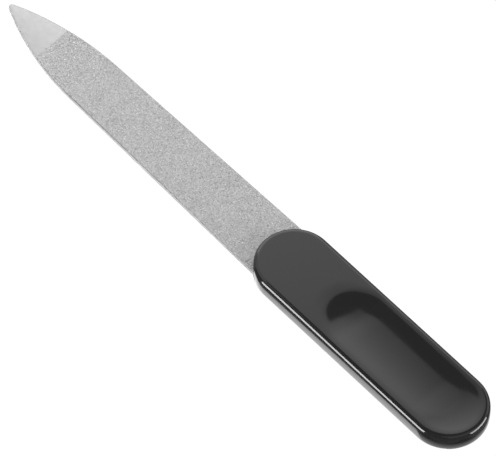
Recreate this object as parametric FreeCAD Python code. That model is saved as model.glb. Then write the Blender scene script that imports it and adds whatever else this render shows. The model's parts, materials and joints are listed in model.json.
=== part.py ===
import FreeCAD, Part
import math
import os

# A flat metal nail file, lying on its handle, with the blade pointing along -X. Lengths are in
# millimetres. The origin is under the middle of the file, on the surface that it lies on.
#
# The steel blade is one stamped blank: a bare pointed tip for cleaning under the nails, a filing
# length that widens towards the handle, and a narrower tang that the handle hides. A thin coat of
# abrasive grit is bonded to each face. The handle is one piece of plastic, moulded round the tang,
# with a shallow dish for a fingertip in each face.

# Whole file
total_length = 140.0
overrun = 1.0                     # how far a cutting shape runs past what it cuts

# Blade
blade_thickness = 0.8
point_length = 26.0               # from the tip to where its curved sides run into the straight ones
nose_radius = 0.75                # the very end of the tip
width_at_point = 12.3             # across the straight sides, where the curved ones end
width_at_handle = 14.1            # across the straight sides, level with the front of the handle
blade_edge_round = 0.15
seat_depth = 7.0                  # full-width blade behind the front of the handle
shoulder_length = 2.6             # sloping step from the full width down to the tang

# Tang
tang_width = 9.0
tang_length = 46.0                # from the front of the handle to the end of the tang
tang_corner_radius = 2.0
lock_hole_diameter = 3.6          # the plastic runs through these holes and locks the tang
lock_hole_from_front = 16.0       # from the front of the handle to the first hole
lock_hole_pitch = 20.0
lock_hole_count = 2

# Grit coats
grit_thickness = 0.12
grit_margin = 0.2                 # bare steel left along each edge of the blade
bare_tip_length = 13.65           # along the middle of the blade
grit_front_slant = 8.4            # degrees that the coat's front edge is off square to the blade
grit_seat_depth = 6.0             # coated blade behind the front of the handle

# Handle
handle_length = 61.0
handle_width = 16.5
handle_thickness = 4.6
handle_edge_round = 1.2
moulding_gap = 0.02               # between the plastic and what it was moulded round

# Finger dishes
dish_depth = 0.7
dish_from_front = 20.4            # from the front of the handle to the start of the dish
dish_land = 0.35                  # flat left between the dish and the rounded edge of the handle

tip_x = -total_length / 2
tail_x = total_length / 2
front_x = tail_x - handle_length
seat_x = front_x + seat_depth
neck_x = seat_x + shoulder_length
tang_end_x = front_x + tang_length
blade_bottom = (handle_thickness - blade_thickness) / 2
blade_top = blade_bottom + blade_thickness


def at(x, y=0, z=0):
    return FreeCAD.Vector(x, y, z)


def mirrored(point):
    return at(point.x, -point.y)


def line(start, end):
    return Part.LineSegment(start, end).toShape()


def arc(start, middle, end):
    return Part.Arc(start, middle, end).toShape()


def face_inside(edges):
    return Part.Face(Part.Wire(Part.sortEdges(edges)[0]))


def slab(face, bottom, top):
    """A flat plate with the outline of a face drawn at z = 0."""
    return face.translated(at(0, 0, bottom)).extrude(at(0, 0, top - bottom))


# Blade

def straight_side(x):
    """Half the width of the blade along its straight, slowly widening stretch."""
    point_end_x = tip_x + point_length
    widening = (width_at_handle - width_at_point) / (front_x - point_end_x)
    return (width_at_point + widening * (x - point_end_x)) / 2


def point_side(side_start):
    """The arc from the rounded nose to side_start, tangent to both, as its two ends and a point between."""
    slope = math.atan2(width_at_handle - width_at_point, 2 * (front_x - side_start.x))
    nose_centre = at(tip_x + nose_radius)
    run, rise = side_start.x - nose_centre.x, side_start.y
    lean = run * math.sin(slope) - rise * math.cos(slope)
    radius = (nose_radius**2 - run**2 - rise**2) / (2 * (lean + nose_radius))
    centre = side_start + at(math.sin(slope), -math.cos(slope)) * radius
    nose_end = nose_centre + (nose_centre - centre).normalize() * nose_radius
    between = centre + ((nose_end + side_start) / 2 - centre).normalize() * radius
    return nose_end, between, side_start


def blank_outline():
    """The flat outline of the whole steel blank, from the tip to the end of the tang."""
    point_end_x = tip_x + point_length
    nose_end, bulge, side_start = point_side(at(point_end_x, straight_side(point_end_x)))
    seat = at(seat_x, straight_side(seat_x))
    neck = at(neck_x, tang_width / 2)
    corner_start = at(tang_end_x - tang_corner_radius, tang_width / 2)
    corner_end = at(tang_end_x, tang_width / 2 - tang_corner_radius)
    corner_bulge = at(corner_start.x, corner_end.y) + at(1, 1).normalize() * tang_corner_radius
    edges = [arc(mirrored(nose_end), at(tip_x), nose_end), line(corner_end, mirrored(corner_end))]
    for side in (lambda point: point, mirrored):
        edges += [
            arc(side(nose_end), side(bulge), side(side_start)),
            line(side(side_start), side(seat)),
            line(side(seat), side(neck)),
            line(side(neck), side(corner_start)),
            arc(side(corner_start), side(corner_bulge), side(corner_end)),
        ]
    return face_inside(edges)


def lock_holes(radius, bottom, top):
    first_x = front_x + lock_hole_from_front
    pins = [
        Part.makeCylinder(radius, top - bottom, at(first_x + i * lock_hole_pitch, 0, bottom))
        for i in range(lock_hole_count)
    ]
    return Part.makeCompound(pins)


def make_blade():
    blank = slab(blank_outline(), blade_bottom, blade_top)
    broken_edges = [
        edge
        for edge in blank.Edges
        if edge.BoundBox.ZLength < blade_thickness / 2 and edge.BoundBox.XMax < (seat_x + neck_x) / 2
    ]
    blank = blank.makeFillet(blade_edge_round, broken_edges)
    return blank.cut(lock_holes(lock_hole_diameter / 2, blade_bottom - overrun, blade_top + overrun))


# Grit coats

def coat_outline():
    """The coated area of one face: the blank less its edges, from the slanted front to inside the handle."""
    half = width_at_handle / 2
    slant = half * math.tan(math.radians(grit_front_slant))
    front = at(tip_x + bare_tip_length - slant, half)
    other_front = at(tip_x + bare_tip_length + slant, -half)
    back = at(front_x + grit_seat_depth, half)
    area = face_inside(
        [
            line(front, back),
            line(back, mirrored(back)),
            line(mirrored(back), other_front),
            line(other_front, front),
        ]
    )
    return blank_outline().makeOffset2D(-grit_margin).common(area).Faces[0]


def make_grit_coat(bottom):
    return slab(coat_outline(), bottom, bottom + grit_thickness)


# Handle

def moulded_over():
    """The space that the blade and its coats take up in the handle, with the moulding gap all round."""
    blank = blank_outline().makeOffset2D(moulding_gap)
    steel = slab(blank, blade_bottom - moulding_gap, blade_top + moulding_gap)
    pin_radius = lock_hole_diameter / 2 - moulding_gap
    steel = steel.cut(lock_holes(pin_radius, blade_bottom - overrun, blade_top + overrun))
    coat = coat_outline().makeOffset2D(moulding_gap)
    coat_reach = grit_thickness + moulding_gap
    return steel.fuse(slab(coat, blade_bottom - coat_reach, blade_top + coat_reach))


def handle_body():
    radius = handle_width / 2
    rear_x, fore_x = tail_x - radius, front_x + radius
    outline = face_inside(
        [
            arc(at(fore_x, -radius), at(front_x), at(fore_x, radius)),
            line(at(fore_x, radius), at(rear_x, radius)),
            arc(at(rear_x, radius), at(tail_x), at(rear_x, -radius)),
            line(at(rear_x, -radius), at(fore_x, -radius)),
        ]
    )
    body = slab(outline, 0, handle_thickness)
    rims = [edge for edge in body.Edges if edge.BoundBox.ZLength < handle_thickness / 2]
    return body.makeFillet(handle_edge_round, rims)


def dish_cutter():
    """A long round-ended bar, lying along the handle, that dips into its top face by the dish's depth."""
    half = handle_width / 2 - handle_edge_round - dish_land
    radius = (half**2 + dish_depth**2) / (2 * dish_depth)
    height = handle_thickness - dish_depth + radius
    start = at(front_x + dish_from_front + half, 0, height)
    end = at(tail_x - handle_width / 2, 0, height)
    bar = Part.makeCylinder(radius, end.x - start.x, start, at(1))
    return bar.fuse([Part.makeSphere(radius, start), Part.makeSphere(radius, end)]).removeSplitter()


def make_handle():
    upper = dish_cutter()
    lower = upper.mirror(at(0, 0, handle_thickness / 2), at(0, 0, 1))
    return handle_body().cut([upper, lower, moulded_over()])


os.makedirs("parts", exist_ok=True)
pieces = {
    "blade": make_blade(),
    "grit_coat_top": make_grit_coat(blade_top),
    "grit_coat_underside": make_grit_coat(blade_bottom - grit_thickness),
    "handle": make_handle(),
}
for name, piece in pieces.items():
    piece.exportStep(f"parts/{name}.step")
    print(name, piece.ShapeType, len(piece.Solids), piece.isValid(), round(piece.Volume, 2))
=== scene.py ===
import json
import math

import bmesh
import bpy
from mathutils import Euler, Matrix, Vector

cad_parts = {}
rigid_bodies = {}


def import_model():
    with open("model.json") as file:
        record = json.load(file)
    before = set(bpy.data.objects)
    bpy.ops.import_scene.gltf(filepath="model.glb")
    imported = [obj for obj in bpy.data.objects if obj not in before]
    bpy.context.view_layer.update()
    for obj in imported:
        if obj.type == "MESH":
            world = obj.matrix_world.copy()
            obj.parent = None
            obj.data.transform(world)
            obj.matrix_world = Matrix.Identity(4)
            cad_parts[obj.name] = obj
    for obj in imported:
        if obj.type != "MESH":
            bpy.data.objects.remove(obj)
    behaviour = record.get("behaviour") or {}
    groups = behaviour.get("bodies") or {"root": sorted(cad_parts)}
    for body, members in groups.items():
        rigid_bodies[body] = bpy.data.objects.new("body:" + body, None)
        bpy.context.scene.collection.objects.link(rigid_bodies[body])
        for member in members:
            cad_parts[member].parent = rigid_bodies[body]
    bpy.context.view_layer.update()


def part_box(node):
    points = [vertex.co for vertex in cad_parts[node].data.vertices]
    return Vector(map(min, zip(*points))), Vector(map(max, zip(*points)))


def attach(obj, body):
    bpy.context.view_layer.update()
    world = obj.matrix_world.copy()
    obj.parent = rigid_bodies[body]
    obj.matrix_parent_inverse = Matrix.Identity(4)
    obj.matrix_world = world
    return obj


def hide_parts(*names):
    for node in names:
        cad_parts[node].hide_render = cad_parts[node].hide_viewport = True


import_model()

# Metal nail file: a steel blade with a bare point, grit bonded to both faces, and a glossy black
# handle with a finger dish in each face. Everything is in metres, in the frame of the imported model:
# +X runs from the tip of the blade to the end of the handle.

mm = 0.001
bladeLow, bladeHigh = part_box("blade")
coatLow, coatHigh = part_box("grit_coat_top")
handleLow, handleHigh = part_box("handle")
middleZ = (handleLow.z + handleHigh.z) / 2
for leftover in ("Cube", "Light", "Camera"):
    if leftover in bpy.data.objects:
        bpy.data.objects.remove(bpy.data.objects[leftover])


# hand tools: what is worked on, what is selected by its place, and how nodes are joined

samePlace = 0.01 * mm                # two places this close count as one
sameRing = 0.002 * mm                # closer, where rows of points lie side by side
mergeWithin = 0.001 * mm             # doubles this close are merged
smoothUpTo = math.radians(30)        # flatter edges than this are shaded smooth


def workOn(piece):
    if bpy.context.object and bpy.context.object.mode == "EDIT":
        bpy.ops.object.mode_set(mode="OBJECT")
    bpy.ops.object.select_all(action="DESELECT")
    piece.select_set(True)
    bpy.context.view_layer.objects.active = piece


def edit(kind="VERT"):
    bpy.ops.object.mode_set(mode="EDIT")
    bpy.ops.mesh.select_mode(type=kind)
    bpy.ops.mesh.select_all(action="DESELECT")


def pick(piece, kind, test):
    mesh = bmesh.from_edit_mesh(piece.data)
    bpy.ops.mesh.select_all(action="DESELECT")
    for thing in {"VERT": mesh.verts, "EDGE": mesh.edges, "FACE": mesh.faces}[kind]:
        corners = (thing,) if kind == "VERT" else thing.verts
        if all(test(vert.co) for vert in corners):
            thing.select_set(True)
    bmesh.update_edit_mesh(piece.data)


def pickAll():
    bpy.ops.mesh.select_all(action="SELECT")


def push(x=0, y=0, z=0, **fallOff):
    bpy.ops.transform.translate(value=(x, y, z), **fallOff)


def pull(x=0, y=0, z=0):
    bpy.ops.mesh.extrude_region_move(TRANSFORM_OT_translate={"value": (x, y, z)})


def squeeze(x=1, y=1, z=1, about=(0, 0, 0)):
    bpy.ops.transform.resize(value=(x, y, z), center_override=about)


def applyModifier(piece, kind, **settings):
    workOn(piece)
    modifier = piece.modifiers.new(kind.lower(), kind)
    for name, value in settings.items():
        setattr(modifier, name, value)
    bpy.ops.object.modifier_apply(modifier=modifier.name)


def near(a, b, slack=samePlace):
    return abs(a - b) < slack


def copyNode(node, name):
    piece = bpy.data.objects[node].copy()
    piece.data = piece.data.copy()
    piece.name = name
    bpy.context.scene.collection.objects.link(piece)
    piece.hide_render = False
    workOn(piece)
    edit()
    pickAll()
    bpy.ops.mesh.remove_doubles(threshold=mergeWithin)
    return piece


def newMaterial(name):
    material = bpy.data.materials.new(name)
    material.use_nodes = True
    tree = material.node_tree
    tree.nodes.clear()
    return material, tree, tree.nodes.new("ShaderNodeOutputMaterial")


def addNode(tree, kind, **settings):
    node = tree.nodes.new(kind)
    for name, value in settings.items():
        setattr(node, name, value)
    return node


def addRange(tree, fromLow=0, fromHigh=1, toLow=0, toHigh=1):
    node = addNode(tree, "ShaderNodeMapRange")
    for socket, value in (("From Min", fromLow), ("From Max", fromHigh), ("To Min", toLow), ("To Max", toHigh)):
        node.inputs[socket].default_value = value
    return node


def wire(tree, *pairs):
    for start, end in pairs:
        tree.links.new(start, end)


# camera, at the angle and distance that the photograph was taken from

cameraForm = {
    "aim": (4.02 * mm, -0.54 * mm, 2.36 * mm),
    "azimuth": 48.30,                # degrees, from straight in front towards the end of the handle
    "elevation": 55.14,              # above the floor
    "distance": 991.1 * mm,
    "lens": 361.77,                  # for a sensor as wide as the picture
    "sensor": 36.0,
    "nearest": 0.05,                 # what the camera sees, in metres from it
    "farthest": 20,
}


def buildCamera():
    form = cameraForm
    turn, rise = math.radians(form["azimuth"]), math.radians(form["elevation"])
    back = Vector((math.sin(turn) * math.cos(rise), -math.cos(turn) * math.cos(rise), math.sin(rise)))
    bpy.ops.object.camera_add(location=Vector(form["aim"]) + back * form["distance"])
    camera = bpy.context.object
    camera.rotation_euler = back.to_track_quat("Z", "Y").to_euler()
    camera.data.lens = form["lens"]
    camera.data.sensor_width = form["sensor"]
    camera.data.clip_start, camera.data.clip_end = form["nearest"], form["farthest"]
    bpy.context.scene.camera = camera


buildCamera()
print("camera")


# floor and light: a pale glowing table, and white panels round it in an otherwise dim room

floorForm = {
    "size": 6.0,
    "tone": 0.02,
    "glow": 1.02,
    "roughness": 0.8,
}
# Each panel: its middle, width and height in metres, and the brightness in its middle. A fade is how much
# that changes per metre along the width and the height, and "most" is where it stops. With a roundFade the
# brightness holds right below the file and changes by that much per metre away from there. A panel with a
# turn lies flat, and the others face the file. A low panel shows only as a reflection in the handle's wall.
panels = {
    "softbox": {"middle": (-0.515, 0.408, 0.485), "turn": 0.058, "size": (0.725, 0.571),
                "brightness": 3.87, "most": 2.49, "fade": (-6.72, 3.27)},
    "cloth": {"middle": (-0.49, -0.09, 0.484), "turn": 0, "size": (0.56, 0.42), "brightness": 1.1},
    "leftStrip": {"middle": (-0.219, -0.762, 0.068), "size": (0.43, 0.52), "brightness": 13.5},
    "rightStrip": {"middle": (0.682, 0.394, 0.139), "size": (0.65, 0.44), "brightness": 9},
    "rightCloth": {"middle": (0.153, 1.086, 0.488), "size": (0.97, 0.78), "brightness": 1.0},
    "backdrop": {"middle": (-0.838, 0.504, 0.208), "size": (1.1, 0.65), "brightness": 1.55, "fade": (0, 2.7)},
    "wall": {"middle": (-1.386, 0.8, 0.36), "size": (4.6, 1.28), "brightness": 0.7},
    "fill": {"middle": (0.704, -0.062, 0.707), "size": (1.2, 0.8), "brightness": 0.5},
    "underGlow": {"middle": (-0.394, -0.103, -1), "turn": -2.374, "size": (0.81, 0.70),
                  "brightness": 2.1, "low": True},
    "underDim": {"middle": (0.316, -0.327, -1), "turn": -2.374, "size": (1.52, 0.61),
                 "brightness": 3.5, "most": 1.6, "roundFade": -4.5, "low": True},
    "underEnd": {"middle": (0.118, 0.435, -1.02), "turn": -0.319, "size": (0.95, 0.50),
                 "brightness": 4.0, "most": 1.6, "roundFade": -5, "low": True},
}
roomForm = {
    "glow": 0.12,
    "brightest": 100,                # more than any panel reaches
}


def buildFloor():
    form = floorForm
    bpy.ops.mesh.primitive_plane_add(size=form["size"], location=(0, 0, handleLow.z))
    floor = bpy.context.object
    floor.name = "floor"
    material, tree, output = newMaterial("paleTable")
    pale = addNode(tree, "ShaderNodeBsdfPrincipled")
    pale.inputs["Base Color"].default_value = (form["tone"],) * 3 + (1,)
    pale.inputs["Roughness"].default_value = form["roughness"]
    pale.inputs["Specular IOR Level"].default_value = 0
    pale.inputs["Emission Color"].default_value = (1, 1, 1, 1)
    pale.inputs["Emission Strength"].default_value = form["glow"]
    # clear from below, so that the underside of the file can be looked at
    clear = addNode(tree, "ShaderNodeBsdfTransparent")
    side = addNode(tree, "ShaderNodeNewGeometry")
    mix = addNode(tree, "ShaderNodeMixShader")
    wire(tree,
         (side.outputs["Backfacing"], mix.inputs["Fac"]),
         (pale.outputs["BSDF"], mix.inputs[1]),
         (clear.outputs["BSDF"], mix.inputs[2]),
         (mix.outputs["Shader"], output.inputs["Surface"]))
    floor.data.materials.append(material)
    floor.visible_glossy = False


def addFade(tree, form):
    if "roundFade" in form:
        belowFile = -Vector(form["middle"])
        belowFile.rotate(Euler((0, 0, -form["turn"])))
        fade = addNode(tree, "ShaderNodeVectorMath", operation="DISTANCE")
        fade.inputs[1].default_value = (belowFile.x, belowFile.y, 0)
    else:
        fade = addNode(tree, "ShaderNodeVectorMath", operation="DOT_PRODUCT")
        fade.inputs[1].default_value = (*form.get("fade", (0, 0)), 0)
    level = addNode(tree, "ShaderNodeMath", operation="MULTIPLY_ADD")
    level.inputs[1].default_value = form.get("roundFade", 1)
    level.inputs[2].default_value = form["brightness"]
    return fade, level


def buildPanel(name, form):
    bpy.ops.mesh.primitive_plane_add(size=1, location=form["middle"])
    panel = bpy.context.object
    panel.name = name
    panel.scale = (*form["size"], 1)
    bpy.ops.object.transform_apply(location=False, rotation=False, scale=True)
    if "turn" in form:
        panel.rotation_euler = (0, 0, form["turn"])
    else:
        panel.rotation_euler = panel.location.to_track_quat("Z", "Y").to_euler()
    material, tree, output = newMaterial(name + "Glow")
    place = addNode(tree, "ShaderNodeTexCoord")
    fade, level = addFade(tree, form)
    limit = addNode(tree, "ShaderNodeClamp")
    limit.inputs["Max"].default_value = form.get("most", roomForm["brightest"])
    glow = addNode(tree, "ShaderNodeEmission")
    wire(tree,
         (place.outputs["Object"], fade.inputs[0]),
         (fade.outputs["Value"], level.inputs[0]),
         (level.outputs["Value"], limit.inputs["Value"]),
         (limit.outputs["Result"], glow.inputs["Strength"]),
         (glow.outputs["Emission"], output.inputs["Surface"]))
    panel.data.materials.append(material)
    panel.visible_camera = panel.visible_shadow = False
    if form.get("low"):
        panel.visible_diffuse = False
        material.cycles.emission_sampling = "NONE"


def buildRoom():
    scene = bpy.context.scene
    scene.view_settings.view_transform = "Standard"
    scene.world = bpy.data.worlds.new("room")
    scene.world.use_nodes = True
    room = scene.world.node_tree.nodes["Background"]
    room.inputs["Color"].default_value = (1, 1, 1, 1)
    room.inputs["Strength"].default_value = roomForm["glow"]


buildFloor()
for name, form in panels.items():
    buildPanel(name, form)
buildRoom()
print("floor and light")


# handle: one glossy moulding with round ends, a bowed side wall, and a finger dish in each face

handleForm = {
    "edgeRound": 1.0 * mm,           # rolled edge round the top and the underside
    "wallLean": 5.0,                 # degrees that the bowed side wall leans where the rolled edge ends
    "stepsAlong": 150,               # faces along each straight side
    "stepsAcross": 28,               # faces from the middle line out to the rolled edge
    "stepsRound": 12,                # faces round the rolled edge
    "stepsEnd": 36,                  # faces round a quarter of each end
    "mouthHalfWidth": 7.45 * mm,     # the opening that the blade comes out of
    "mouthGap": 0.02 * mm,           # over the grit coats, in that opening
    "seatDepth": 9.7 * mm,           # from the front of the handle to the shoulders of the blade
    "tangHalfWidth": 4.75 * mm,
    "tangHalfHeight": 1.0 * mm,
    "tangDepth": 46.1 * mm,          # from the front of the handle to the end of the tang
    # Pushes that shape the finger dish: how far down, how far round it they reach, from where to where
    # along the handle, and the fall-off. The last one lifts its bottom a little.
    "dish": (
        (0.0850 * mm, 6.20 * mm, 27.4 * mm, 53.2 * mm, "INVERSE_SQUARE"),
        (0.0850 * mm, 6.67 * mm, 27.4 * mm, 53.2 * mm, "INVERSE_SQUARE"),
        (0.0850 * mm, 7.15 * mm, 27.4 * mm, 53.2 * mm, "INVERSE_SQUARE"),
        (0.0850 * mm, 7.62 * mm, 27.4 * mm, 53.2 * mm, "INVERSE_SQUARE"),
        (0.0850 * mm, 8.10 * mm, 27.4 * mm, 53.2 * mm, "INVERSE_SQUARE"),
        (0.167 * mm, 6.80 * mm, 23.3 * mm, 48.2 * mm, "SMOOTH"),
        (-0.046 * mm, 4.63 * mm, 30.4 * mm, 49.3 * mm, "SMOOTH"),
    ),
}


# how far out and how far down each row of points lies, over the rolled edge and down the bowed wall
def edgeRings(half, mouthTop):
    form = handleForm
    lean = math.radians(form["wallLean"])
    rings = []
    for step in range(form["stepsRound"] + 1):
        angle = step / form["stepsRound"] * (math.pi / 2 - lean)
        rings.append((form["edgeRound"] * math.sin(angle), form["edgeRound"] * (1 - math.cos(angle))))
    rollOut, rollDrop = rings[-1]
    wallHeight = half - rollDrop
    bow = wallHeight * math.tan(lean / 2)
    mouthPart = (half - mouthTop - rollDrop) / wallHeight
    for part in (mouthPart / 2, mouthPart, (1 + mouthPart) / 2, 1):
        rings.append((rollOut + bow * (1 - (1 - part) ** 2), rollDrop + part * wallHeight))
    return rings


def buildHandle():
    form = handleForm
    radius = (handleHigh.y - handleLow.y) / 2
    half = handleHigh.z - middleZ
    mouthTop = coatHigh.z - middleZ + form["mouthGap"]
    rings = edgeRings(half, mouthTop)
    flat = radius - rings[-1][0]
    frontX, tailX = handleLow.x + radius, handleHigh.x - radius

    def spineDistance(co):
        return math.hypot(co.x - min(max(co.x, frontX), tailX), co.y)

    # one side of the top, still flat, with a row of faces for each step of the rolled edge and the wall
    bpy.ops.object.select_all(action="DESELECT")
    bpy.ops.mesh.primitive_grid_add(x_subdivisions=form["stepsAlong"], y_subdivisions=form["stepsAcross"],
                                    size=1, location=(0, 0, 0))
    handle = bpy.context.object
    handle.name = "handleShell"
    edit()
    pickAll()
    squeeze(x=tailX - frontX, y=flat)
    push((frontX + tailX) / 2, flat / 2, half)
    for (last, _), (out, _) in zip(rings, rings[1:]):
        pick(handle, "EDGE", lambda co: near(co.y, flat + last, sameRing))
        pull(y=out - last)

    # round ends
    for centre, turn in ((tailX, 1), (frontX, -1)):
        pick(handle, "EDGE", lambda co: near(co.x, centre))
        bpy.ops.mesh.spin(steps=form["stepsEnd"], angle=turn * math.pi / 2,
                          center=(centre, 0, 0), axis=(0, 0, 1))
    pickAll()
    bpy.ops.mesh.remove_doubles(threshold=mergeWithin)

    # finger dish
    for depth, reach, start, end, fallOff in form["dish"]:
        start, end = handleLow.x + start, handleLow.x + end
        pick(handle, "VERT", lambda co: near(co.y, 0) and start < co.x < end)
        push(z=-depth, use_proportional_edit=True, proportional_edit_falloff=fallOff, proportional_size=reach)

    # the rolled edge and the wall are let down ring by ring, and then this quarter is mirrored twice
    for out, drop in rings:
        pick(handle, "VERT", lambda co: near(spineDistance(co), flat + out, sameRing))
        push(z=-drop)
    for axis in ((False, True, False), (False, False, True)):
        applyModifier(handle, "MIRROR", use_axis=axis, merge_threshold=mergeWithin)

    # the opening at the front, with room behind it for the shoulders and the tang
    edit("FACE")
    pick(handle, "FACE", lambda co: co.x < frontX and abs(co.z) < mouthTop + samePlace
         and abs(co.y) < form["mouthHalfWidth"])
    for end, halfWidth in ((form["seatDepth"], form["tangHalfWidth"]), (form["tangDepth"], 0)):
        end += handleLow.x
        pull(x=radius)
        squeeze(x=0, about=(end, 0, 0))
        pick(handle, "FACE", lambda co: near(co.x, end) and abs(co.y) < halfWidth
             and abs(co.z) < form["tangHalfHeight"])
    pickAll()
    bpy.ops.mesh.normals_make_consistent(inside=False)
    push(z=middleZ)
    workOn(handle)
    bpy.ops.object.shade_smooth_by_angle(angle=smoothUpTo)
    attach(handle, "root")
    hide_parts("handle")
    return handle


handle = buildHandle()
print("handle:", len(handle.data.polygons), "faces")


# blade: the stamped blank, with the soft roll that the punch leaves along its edges

bladeForm = {
    "roll": (                        # strips of the rolled edge, from the outside in: width and rise
        (0.07 * mm, 0.018 * mm),
        (0.08 * mm, 0.009 * mm),
        (0.08 * mm, 0.003 * mm),
    ),
}


def buildBlade():
    form = bladeForm
    blade = copyNode("blade", "bladePlate")
    half = (bladeHigh.z - bladeLow.z) / 2
    rise = sum(up for width, up in form["roll"])
    pickAll()
    squeeze(z=1 - rise / half, about=(0, 0, middleZ))
    pick(blade, "FACE", lambda co: near(abs(co.z - middleZ), half - rise, sameRing))
    for width, up in form["roll"]:
        bpy.ops.mesh.inset(thickness=width, depth=up, use_even_offset=True)
    workOn(blade)
    bpy.ops.object.shade_smooth_by_angle(angle=smoothUpTo)
    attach(blade, "root")
    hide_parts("blade")
    return blade


blade = buildBlade()
print("blade:", len(blade.data.polygons), "faces")


# grit coats: a thin bed of bond on each face of the blade, with crystals standing out of it

gritForm = {
    "bedThickness": 0.07 * mm,
    "bedSunk": 0.03 * mm,            # how far the bed reaches below the face, over the rolled edges
    "bedTone": 0.26,                 # of the bond, on the scale that the crystals' tones run from 0 to 1
    "frontOnMiddle": 13.4 * mm,      # from the tip to the front of the coat, along the middle of the blade
    "frontSlant": 5.5,               # degrees that the front is off square to the blade
    "frontReach": 1.4 * mm,          # the solid coat's front lies within this of its foremost corner
    "frontOverrun": 1.2 * mm,        # how far it is drawn out before it is trimmed
    "frontTaper": 0.92,              # and made narrower, to stay on the narrowing blade
    "crystalWidth": 0.30 * mm,
    "crystalHeight": 0.12 * mm,
    "crystalKinds": 4,
    "sides": 4,                      # of each crystal, round its middle
    "chipped": 0.15,                 # how far the corners are moved, of the width
    "crowding": 1.1e7,               # crystals per square metre
    "smallest": 0.6,                 # of the full size
    "tilt": 0.35,                    # most that a crystal leans, in radians
    "faceSlack": 0.1,                # how far a face may lean and still count as the outer one
    "thinFront": 1.3 * mm,           # width of the thinly covered strip along the front
    "thinnest": 0.1,                 # share of the crystals that are left at the very front
    "underHandle": 0.3 * mm,         # how far into the handle the crystals go
    "seeds": {"shapes": 5, "spots": 5, "sizes": 1, "tones": 2, "thinning": 3},
}


def buildCrystals():
    form = gritForm
    kinds = bpy.data.collections.new("crystals")
    bpy.context.scene.collection.children.link(kinds)
    for kind in range(form["crystalKinds"]):
        bpy.ops.object.select_all(action="DESELECT")
        bpy.ops.mesh.primitive_uv_sphere_add(segments=form["sides"], ring_count=2,
                                             radius=form["crystalWidth"] / 2)
        crystal = bpy.context.object
        crystal.name = f"crystal{kind}"
        edit()
        pickAll()
        bpy.ops.transform.vertex_random(offset=form["crystalWidth"] * form["chipped"],
                                        seed=form["seeds"]["shapes"] + kind)
        squeeze(z=form["crystalHeight"] / form["crystalWidth"])
        bpy.ops.object.mode_set(mode="OBJECT")
        for collection in crystal.users_collection:
            collection.objects.unlink(crystal)
        kinds.objects.link(crystal)
    return kinds


def addChance(tree, seed, low=0, high=1):
    node = addNode(tree, "FunctionNodeRandomValue", data_type="FLOAT")
    node.inputs[2].default_value, node.inputs[3].default_value = low, high
    node.inputs["Seed"].default_value = seed
    return node


# Points all over the outer face, thinned out along the coat's front and left out under the handle. They
# follow the order of the bed's faces as well as the seeds, and that order is not the same in every run.
def scatterOnFace(tree, bed, side):
    form = gritForm
    normal = addNode(tree, "GeometryNodeInputNormal")
    upright = addNode(tree, "ShaderNodeSeparateXYZ")
    outside = addNode(tree, "ShaderNodeMath", operation="COMPARE")
    outside.inputs[1].default_value = side
    outside.inputs[2].default_value = form["faceSlack"]
    spots = addNode(tree, "GeometryNodeDistributePointsOnFaces", distribute_method="RANDOM")
    spots.inputs["Density"].default_value = form["crowding"]
    spots.inputs["Seed"].default_value = form["seeds"]["spots"]

    where = addNode(tree, "GeometryNodeInputPosition")
    radius = (handleHigh.y - handleLow.y) / 2
    fromEnd = addNode(tree, "ShaderNodeVectorMath", operation="SUBTRACT")
    fromEnd.inputs[1].default_value = (handleLow.x + radius, 0, 0)
    inPlan = addNode(tree, "ShaderNodeVectorMath", operation="MULTIPLY")
    inPlan.inputs[1].default_value = (1, 1, 0)
    reach = addNode(tree, "ShaderNodeVectorMath", operation="LENGTH")
    shown = addNode(tree, "ShaderNodeMath", operation="GREATER_THAN")
    shown.inputs[1].default_value = radius - form["underHandle"]

    fromFront = addNode(tree, "ShaderNodeVectorMath", operation="DOT_PRODUCT")
    fromFront.inputs[1].default_value = (1, math.tan(math.radians(form["frontSlant"])), 0)
    frontX = bladeLow.x + form["frontOnMiddle"]
    cover = addRange(tree, frontX, frontX + form["thinFront"], form["thinnest"])
    kept = addNode(tree, "ShaderNodeMath", operation="MULTIPLY")
    chance = addChance(tree, form["seeds"]["thinning"])
    dropped = addNode(tree, "ShaderNodeMath", operation="LESS_THAN")
    thinned = addNode(tree, "GeometryNodeDeleteGeometry", domain="POINT")
    wire(tree,
         (normal.outputs["Normal"], upright.inputs["Vector"]),
         (upright.outputs["Z"], outside.inputs[0]),
         (outside.outputs["Value"], spots.inputs["Selection"]),
         (bed.outputs["Geometry"], spots.inputs["Mesh"]),
         (where.outputs["Position"], fromEnd.inputs[0]),
         (fromEnd.outputs["Vector"], inPlan.inputs[0]),
         (inPlan.outputs["Vector"], reach.inputs[0]),
         (reach.outputs["Value"], shown.inputs[0]),
         (where.outputs["Position"], fromFront.inputs[0]),
         (fromFront.outputs["Value"], cover.inputs["Value"]),
         (cover.outputs["Result"], kept.inputs[0]),
         (shown.outputs["Value"], kept.inputs[1]),
         (kept.outputs["Value"], dropped.inputs[0]),
         (chance.outputs[1], dropped.inputs[1]),
         (spots.outputs["Points"], thinned.inputs["Geometry"]),
         (dropped.outputs["Value"], thinned.inputs["Selection"]))
    return thinned


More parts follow.
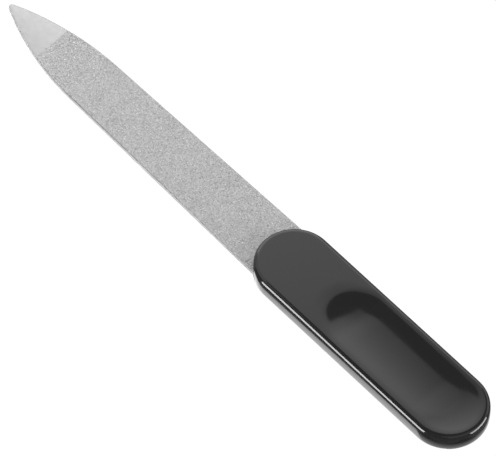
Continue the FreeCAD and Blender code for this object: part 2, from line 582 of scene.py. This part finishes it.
def scatterNodes(kinds, side):
    form = gritForm
    tree = bpy.data.node_groups.new("crystalScatter", "GeometryNodeTree")
    tree.interface.new_socket("Geometry", in_out="INPUT", socket_type="NodeSocketGeometry")
    tree.interface.new_socket("Geometry", in_out="OUTPUT", socket_type="NodeSocketGeometry")
    bed = addNode(tree, "NodeGroupInput")
    grown = addNode(tree, "NodeGroupOutput")
    points = scatterOnFace(tree, bed, side)
    pile = addNode(tree, "GeometryNodeCollectionInfo")
    pile.inputs["Collection"].default_value = kinds
    pile.inputs["Separate Children"].default_value = True
    pile.inputs["Reset Children"].default_value = True
    lean = addNode(tree, "FunctionNodeRandomValue", data_type="FLOAT_VECTOR")
    lean.inputs[0].default_value = (-form["tilt"], -form["tilt"], -math.pi)
    lean.inputs[1].default_value = (form["tilt"], form["tilt"], math.pi)
    size = addChance(tree, form["seeds"]["sizes"], form["smallest"])
    place = addNode(tree, "GeometryNodeInstanceOnPoints")
    place.inputs["Pick Instance"].default_value = True
    tone = addChance(tree, form["seeds"]["tones"])
    mark = addNode(tree, "GeometryNodeStoreNamedAttribute", data_type="FLOAT", domain="INSTANCE")
    mark.inputs["Name"].default_value = "crystalTone"
    plain = addNode(tree, "GeometryNodeStoreNamedAttribute", data_type="FLOAT", domain="POINT")
    plain.inputs["Name"].default_value = "crystalTone"
    plain.inputs["Value"].default_value = form["bedTone"]
    real = addNode(tree, "GeometryNodeRealizeInstances")
    join = addNode(tree, "GeometryNodeJoinGeometry")
    wire(tree,
         (points.outputs["Geometry"], place.inputs["Points"]),
         (pile.outputs["Instances"], place.inputs["Instance"]),
         (lean.outputs["Value"], place.inputs["Rotation"]),
         (size.outputs[1], place.inputs["Scale"]),
         (place.outputs["Instances"], mark.inputs["Geometry"]),
         (tone.outputs[1], mark.inputs["Value"]),
         (mark.outputs["Geometry"], real.inputs["Geometry"]),
         (real.outputs["Geometry"], join.inputs["Geometry"]),
         (bed.outputs["Geometry"], plain.inputs["Geometry"]),
         (plain.outputs["Geometry"], join.inputs["Geometry"]),
         (join.outputs["Geometry"], grown.inputs["Geometry"]))
    return tree


def buildGritCoat(node, name, side):
    form = gritForm
    coat = copyNode(node, name)
    low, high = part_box(node)
    outer, inner = (high.z, low.z) if side > 0 else (low.z, high.z)
    pick(coat, "VERT", lambda co: near(co.z, outer))
    push(z=side * (form["bedThickness"] - high.z + low.z))
    pick(coat, "VERT", lambda co: near(co.z, inner))
    push(z=-side * form["bedSunk"])

    # the front is drawn out towards the tip and trimmed off at its own slant
    pick(coat, "FACE", lambda co: co.x < coatLow.x + form["frontReach"])
    pull(x=-form["frontOverrun"])
    squeeze(y=form["frontTaper"])
    pickAll()
    slant = math.radians(form["frontSlant"])
    bpy.ops.mesh.bisect(plane_co=(bladeLow.x + form["frontOnMiddle"], 0, 0),
                        plane_no=(math.cos(slant), math.sin(slant), 0), use_fill=True, clear_inner=True)
    applyModifier(coat, "NODES", node_group=scatterNodes(crystals, side))
    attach(coat, "root")
    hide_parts(node)
    return coat


crystals = buildCrystals()
gritTop = buildGritCoat("grit_coat_top", "gritTop", 1)
gritUnderside = buildGritCoat("grit_coat_underside", "gritUnderside", -1)
for crystal in list(crystals.objects):
    bpy.data.objects.remove(crystal)
print("grit coats:", len(gritTop.data.polygons), "and", len(gritUnderside.data.polygons), "faces")


# effects that the finishes share; the sizes that they are given are in millimetres

effectForm = {
    "perMetre": 1000,                # millimetres
    "cloudLow": 0.25,                # of the noise, what counts as the lowest and the highest
    "cloudHigh": 0.75,
    "lineDetail": 4,
}


def newGroup(name, given, made):
    tree = bpy.data.node_groups.new(name, "ShaderNodeTree")
    for socket, value in given.items():
        tree.interface.new_socket(socket, in_out="INPUT", socket_type="NodeSocketFloat").default_value = value
    tree.interface.new_socket(made, in_out="OUTPUT", socket_type="NodeSocketFloat")
    return tree, addNode(tree, "NodeGroupInput"), addNode(tree, "NodeGroupOutput")


def addPitch(tree):
    node = addNode(tree, "ShaderNodeMath", operation="DIVIDE")
    node.inputs[0].default_value = effectForm["perMetre"]
    return node


def toneDriftGroup():
    tree, given, made = newGroup("toneDrift", {"Size": 1.0, "Detail": 3.0, "Low": 0.0, "High": 1.0}, "Value")
    place = addNode(tree, "ShaderNodeTexCoord")
    grain = addPitch(tree)
    cloud = addNode(tree, "ShaderNodeTexNoise")
    spread = addRange(tree, effectForm["cloudLow"], effectForm["cloudHigh"])
    wire(tree,
         (place.outputs["Object"], cloud.inputs["Vector"]),
         (given.outputs["Size"], grain.inputs[1]),
         (grain.outputs["Value"], cloud.inputs["Scale"]),
         (given.outputs["Detail"], cloud.inputs["Detail"]),
         (cloud.outputs["Fac"], spread.inputs["Value"]),
         (given.outputs["Low"], spread.inputs["To Min"]),
         (given.outputs["High"], spread.inputs["To Max"]),
         (spread.outputs["Result"], made.inputs["Value"]))
    return tree


def fineLinesGroup():
    tree, given, made = newGroup("fineLines", {"Spacing": 0.1, "Length": 5.0, "Turn": 0.0}, "Height")
    place = addNode(tree, "ShaderNodeTexCoord")
    turned = addNode(tree, "ShaderNodeVectorRotate", rotation_type="Z_AXIS")
    pitchAlong = addPitch(tree)
    pitchAcross = addPitch(tree)
    stretch = addNode(tree, "ShaderNodeCombineXYZ")
    scaled = addNode(tree, "ShaderNodeVectorMath", operation="MULTIPLY")
    lines = addNode(tree, "ShaderNodeTexNoise")
    lines.inputs["Scale"].default_value = 1
    lines.inputs["Detail"].default_value = effectForm["lineDetail"]
    wire(tree,
         (place.outputs["Object"], turned.inputs["Vector"]),
         (given.outputs["Turn"], turned.inputs["Angle"]),
         (given.outputs["Length"], pitchAlong.inputs[1]),
         (given.outputs["Spacing"], pitchAcross.inputs[1]),
         (pitchAlong.outputs["Value"], stretch.inputs["X"]),
         (pitchAcross.outputs["Value"], stretch.inputs["Y"]),
         (pitchAcross.outputs["Value"], stretch.inputs["Z"]),
         (turned.outputs["Vector"], scaled.inputs[0]),
         (stretch.outputs["Vector"], scaled.inputs[1]),
         (scaled.outputs["Vector"], lines.inputs["Vector"]),
         (lines.outputs["Fac"], made.inputs["Height"]))
    return tree


toneDrift = toneDriftGroup()
fineLines = fineLinesGroup()


def placeGroup(tree, group, values):
    node = addNode(tree, "ShaderNodeGroup", node_tree=group)
    for name, value in values.items():
        node.inputs[name].default_value = value
    return node


def addScratches(tree, surface, form):
    lines = placeGroup(tree, fineLines, form["scratches"])
    bump = addNode(tree, "ShaderNodeBump")
    bump.inputs["Strength"].default_value = form["scratchStrength"]
    bump.inputs["Distance"].default_value = form["scratchDepth"]
    wire(tree,
         (lines.outputs["Height"], bump.inputs["Height"]),
         (bump.outputs["Normal"], surface.inputs["Normal"]))


def newFinish(name):
    material, tree, output = newMaterial(name)
    surface = addNode(tree, "ShaderNodeBsdfPrincipled")
    wire(tree, (surface.outputs["BSDF"], output.inputs["Surface"]))
    return material, tree, surface


# glossy black plastic, with the faintest hairlines from wiping

plasticForm = {
    "tone": 0.016,
    "gloss": 1.5,                    # index of refraction
    "roughness": {"Size": 3, "Low": 0.06, "High": 0.10},
    "scratches": {"Spacing": 0.05, "Length": 4, "Turn": 0.3},
    "scratchStrength": 0.02,
    "scratchDepth": 0.01 * mm,
}


def blackPlastic():
    form = plasticForm
    material, tree, surface = newFinish("glossyBlackPlastic")
    surface.inputs["Base Color"].default_value = (form["tone"],) * 3 + (1,)
    surface.inputs["IOR"].default_value = form["gloss"]
    rough = placeGroup(tree, toneDrift, form["roughness"])
    wire(tree, (rough.outputs["Value"], surface.inputs["Roughness"]))
    addScratches(tree, surface, form)
    return material


# satin steel: brushed on the flat faces, duller on the sheared side wall and the rolled edge

steelForm = {
    # how squarely a place faces up or down, from 0 to 1, and its colour there
    "tones": (
        (0.2, (0.5, 0.5, 0.5)),
        (0.45, (0.52, 0.52, 0.52)),
        (0.985, (0.5, 0.5, 0.5)),
        (1, (0.358, 0.358, 0.357)),
    ),
    "flatFrom": 0.985,               # where the brushed flat faces begin and are full, on that scale
    "flatFull": 0.9998,
    "sideMetallic": 0.3,
    "sideRoughness": 0.7,
    "dullFrom": 13.2 * mm,           # from the tip: between these the sides turn duller, by the grit coat
    "dullFull": 14.8 * mm,
    "dullTone": 0.88,
    "roughness": {"Size": 0.8, "Low": 0.30, "High": 0.38},
    "scratches": {"Spacing": 0.06, "Length": 3, "Turn": 0.8},
    "scratchStrength": 0.25,
    "scratchDepth": 0.01 * mm,
}


def satinSteel():
    form = steelForm
    material, tree, surface = newFinish("satinSteel")
    place = addNode(tree, "ShaderNodeTexCoord")
    facing = addNode(tree, "ShaderNodeSeparateXYZ")
    level = addNode(tree, "ShaderNodeMath", operation="ABSOLUTE")
    tone = addNode(tree, "ShaderNodeValToRGB")
    stops = tone.color_ramp.elements
    first, *between, last = form["tones"]
    for stop, (spot, colour) in ((stops[0], first), (stops[1], last)):
        stop.position, stop.color = spot, (*colour, 1)
    for spot, colour in between:
        stops.new(spot).color = (*colour, 1)
    flat = addRange(tree, form["flatFrom"], form["flatFull"], form["sideMetallic"])
    along = addNode(tree, "ShaderNodeSeparateXYZ")
    worn = addRange(tree, bladeLow.x + form["dullFrom"], bladeLow.x + form["dullFull"], 1, form["dullTone"])
    dulled = addNode(tree, "ShaderNodeVectorMath", operation="SCALE")
    brushed = placeGroup(tree, toneDrift, form["roughness"])
    rough = addNode(tree, "ShaderNodeMix", data_type="FLOAT")
    rough.inputs["A"].default_value = form["sideRoughness"]
    wire(tree,
         (place.outputs["Normal"], facing.inputs["Vector"]),
         (facing.outputs["Z"], level.inputs[0]),
         (level.outputs["Value"], tone.inputs["Fac"]),
         (level.outputs["Value"], flat.inputs["Value"]),
         (place.outputs["Object"], along.inputs["Vector"]),
         (along.outputs["X"], worn.inputs["Value"]),
         (tone.outputs["Color"], dulled.inputs[0]),
         (worn.outputs["Result"], dulled.inputs["Scale"]),
         (dulled.outputs["Vector"], surface.inputs["Base Color"]),
         (flat.outputs["Result"], surface.inputs["Metallic"]),
         (flat.outputs["Result"], rough.inputs["Factor"]),
         (brushed.outputs["Value"], rough.inputs["B"]),
         (rough.outputs["Result"], surface.inputs["Roughness"]))
    addScratches(tree, surface, form)
    return material


# grey grit in its bond: every crystal has a tone of its own, and fine grains break it up

gritFinish = {
    "metallic": 0.5,
    "grainsPerMetre": 3600,
    "grainShare": 0.35,              # of the grains in the tone, and the rest is the crystal's own
    "darkest": 0.27,
    "brightest": 0.85,
    "roughness": {"Size": 0.3, "Low": 0.45, "High": 0.6},
}


def gritCoat():
    form = gritFinish
    material, tree, surface = newFinish("gritCoat")
    surface.inputs["Metallic"].default_value = form["metallic"]
    place = addNode(tree, "ShaderNodeTexCoord")
    grains = addNode(tree, "ShaderNodeTexVoronoi")
    grains.inputs["Scale"].default_value = form["grainsPerMetre"]
    tone = addNode(tree, "ShaderNodeAttribute", attribute_name="crystalTone")
    mixed = addNode(tree, "ShaderNodeMix", data_type="FLOAT")
    mixed.inputs["Factor"].default_value = form["grainShare"]
    shade = addRange(tree, 0, 1, form["darkest"], form["brightest"])
    rough = placeGroup(tree, toneDrift, form["roughness"])
    wire(tree,
         (place.outputs["Object"], grains.inputs["Vector"]),
         (tone.outputs["Fac"], mixed.inputs["A"]),
         (grains.outputs["Color"], mixed.inputs["B"]),
         (mixed.outputs["Result"], shade.inputs["Value"]),
         (shade.outputs["Result"], surface.inputs["Base Color"]),
         (rough.outputs["Value"], surface.inputs["Roughness"]))
    return material


def dress(piece, material):
    if not piece.material_slots:
        piece.data.materials.append(material)
    for slot in piece.material_slots:
        slot.material = material


dress(handle, blackPlastic())
dress(blade, satinSteel())
coatFinish = gritCoat()
dress(gritTop, coatFinish)
dress(gritUnderside, coatFinish)
print("finishes")
